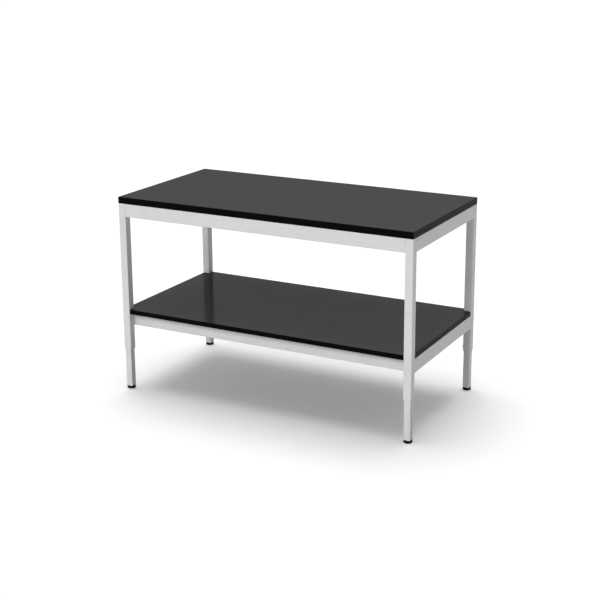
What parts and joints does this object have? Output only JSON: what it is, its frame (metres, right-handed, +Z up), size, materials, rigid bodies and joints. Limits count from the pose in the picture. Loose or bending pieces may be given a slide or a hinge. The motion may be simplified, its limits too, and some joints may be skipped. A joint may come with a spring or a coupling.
{
  "type": "balance table",
  "caption": "Laboratory weighing balance table with a thick dark worktop, a lower shelf and a light tube frame on telescopic legs with levelling feet",
  "frame": {"origin": "On the floor under the middle of the table", "axes": "+X along the long side to the right seen from the front, +Y to the rear, +Z up"},
  "size_m": [1.202, 0.602, 0.76],
  "materials": {
    "board": "black satin laminate on a particle board core",
    "edge_band": "black plastic edge band, glued",
    "powder_coat": "light grey fine-texture powder coat on steel",
    "zinc_steel": "bright zinc-plated steel",
    "nylon": "natural moulded nylon",
    "black_plastic": "black moulded plastic"
  },
  "bodies": {
    "frame": {"worktop_board": "board", "worktop_front_edge": "edge_band", "worktop_right_edge": "edge_band", "worktop_rear_edge": "edge_band", "worktop_left_edge": "edge_band", "shelf_board": "board", "shelf_front_edge": "edge_band", "shelf_right_edge": "edge_band", "shelf_rear_edge": "edge_band", "shelf_left_edge": "edge_band", "front_upper_rail": "powder_coat", "front_lower_rail": "powder_coat", "right_upper_rail": "powder_coat", "right_lower_rail": "powder_coat", "rear_upper_rail": "powder_coat", "rear_lower_rail": "powder_coat", "left_upper_rail": "powder_coat", "left_lower_rail": "powder_coat", "front_left_leg_tube": "powder_coat", "front_left_guide_bush": "nylon", "front_left_lock_nut": "powder_coat", "front_left_corner_plate": "powder_coat", "front_right_leg_tube": "powder_coat", "front_right_guide_bush": "nylon", "front_right_lock_nut": "powder_coat", "front_right_corner_plate": "powder_coat", "rear_right_leg_tube": "powder_coat", "rear_right_guide_bush": "nylon", "rear_right_lock_nut": "powder_coat", "rear_right_corner_plate": "powder_coat", "rear_left_leg_tube": "powder_coat", "rear_left_guide_bush": "nylon", "rear_left_lock_nut": "powder_coat", "rear_left_corner_plate": "powder_coat"},
    "front_left_leg": {"front_left_leg_extension": "powder_coat", "front_left_glide_cap": "nylon", "front_left_end_plug": "black_plastic"},
    "front_left_stud": {"front_left_foot_stud": "zinc_steel"},
    "front_left_pad": {"front_left_foot_pad": "black_plastic"},
    "front_left_clamp": {"front_left_lock_screw": "zinc_steel"},
    "front_right_leg": {"front_right_leg_extension": "powder_coat", "front_right_glide_cap": "nylon", "front_right_end_plug": "black_plastic"},
    "front_right_stud": {"front_right_foot_stud": "zinc_steel"},
    "front_right_pad": {"front_right_foot_pad": "black_plastic"},
    "front_right_clamp": {"front_right_lock_screw": "zinc_steel"},
    "rear_right_leg": {"rear_right_leg_extension": "powder_coat", "rear_right_glide_cap": "nylon", "rear_right_end_plug": "black_plastic"},
    "rear_right_stud": {"rear_right_foot_stud": "zinc_steel"},
    "rear_right_pad": {"rear_right_foot_pad": "black_plastic"},
    "rear_right_clamp": {"rear_right_lock_screw": "zinc_steel"},
    "rear_left_leg": {"rear_left_leg_extension": "powder_coat", "rear_left_glide_cap": "nylon", "rear_left_end_plug": "black_plastic"},
    "rear_left_stud": {"rear_left_foot_stud": "zinc_steel"},
    "rear_left_pad": {"rear_left_foot_pad": "black_plastic"},
    "rear_left_clamp": {"rear_left_lock_screw": "zinc_steel"}
  },
  "joints": [
    {"name": "front_left_leg_slide", "type": "slide", "parent": "frame", "child": "front_left_leg", "axis": [0, 0, -1], "range_m": [-0.14, 0.14]},
    {"name": "front_left_stud_slide", "type": "slide", "parent": "front_left_leg", "child": "front_left_stud", "axis": [0, 0, -1], "range_m": [0, 0.015]},
    {"name": "front_left_pad_turn", "type": "hinge", "parent": "front_left_stud", "child": "front_left_pad", "pos_m": [-0.585, -0.285, 0.004], "axis": [0, 0, -1], "range_deg": [-90, 4410]},
    {"name": "front_left_clamp_slide", "type": "slide", "parent": "frame", "child": "front_left_clamp", "axis": [0, 1, 0], "range_m": [0, 0.002]},
    {"name": "front_right_leg_slide", "type": "slide", "parent": "frame", "child": "front_right_leg", "axis": [0, 0, -1], "range_m": [-0.14, 0.14]},
    {"name": "front_right_stud_slide", "type": "slide", "parent": "front_right_leg", "child": "front_right_stud", "axis": [0, 0, -1], "range_m": [0, 0.015]},
    {"name": "front_right_pad_turn", "type": "hinge", "parent": "front_right_stud", "child": "front_right_pad", "pos_m": [0.585, -0.285, 0.004], "axis": [0, 0, -1], "range_deg": [-90, 4410]},
    {"name": "front_right_clamp_slide", "type": "slide", "parent": "frame", "child": "front_right_clamp", "axis": [0, 1, 0], "range_m": [0, 0.002]},
    {"name": "rear_right_leg_slide", "type": "slide", "parent": "frame", "child": "rear_right_leg", "axis": [0, 0, -1], "range_m": [-0.14, 0.14]},
    {"name": "rear_right_stud_slide", "type": "slide", "parent": "rear_right_leg", "child": "rear_right_stud", "axis": [0, 0, -1], "range_m": [0, 0.015]},
    {"name": "rear_right_pad_turn", "type": "hinge", "parent": "rear_right_stud", "child": "rear_right_pad", "pos_m": [0.585, 0.285, 0.004], "axis": [0, 0, -1], "range_deg": [-90, 4410]},
    {"name": "rear_right_clamp_slide", "type": "slide", "parent": "frame", "child": "rear_right_clamp", "axis": [-1, 0, 0], "range_m": [0, 0.002]},
    {"name": "rear_left_leg_slide", "type": "slide", "parent": "frame", "child": "rear_left_leg", "axis": [0, 0, -1], "range_m": [-0.14, 0.14]},
    {"name": "rear_left_stud_slide", "type": "slide", "parent": "rear_left_leg", "child": "rear_left_stud", "axis": [0, 0, -1], "range_m": [0, 0.015]},
    {"name": "rear_left_pad_turn", "type": "hinge", "parent": "rear_left_stud", "child": "rear_left_pad", "pos_m": [-0.585, 0.285, 0.004], "axis": [0, 0, -1], "range_deg": [-90, 4410]},
    {"name": "rear_left_clamp_slide", "type": "slide", "parent": "frame", "child": "rear_left_clamp", "axis": [1, 0, 0], "range_m": [0, 0.002]}
  ],
  "couplings": [
    {"joint": "front_left_pad_turn", "follows": "front_left_stud_slide", "rad_per_m": 5026.5},
    {"joint": "front_right_pad_turn", "follows": "front_right_stud_slide", "rad_per_m": 5026.5},
    {"joint": "rear_right_pad_turn", "follows": "rear_right_stud_slide", "rad_per_m": 5026.5},
    {"joint": "rear_left_pad_turn", "follows": "rear_left_stud_slide", "rad_per_m": 5026.5}
  ]
}
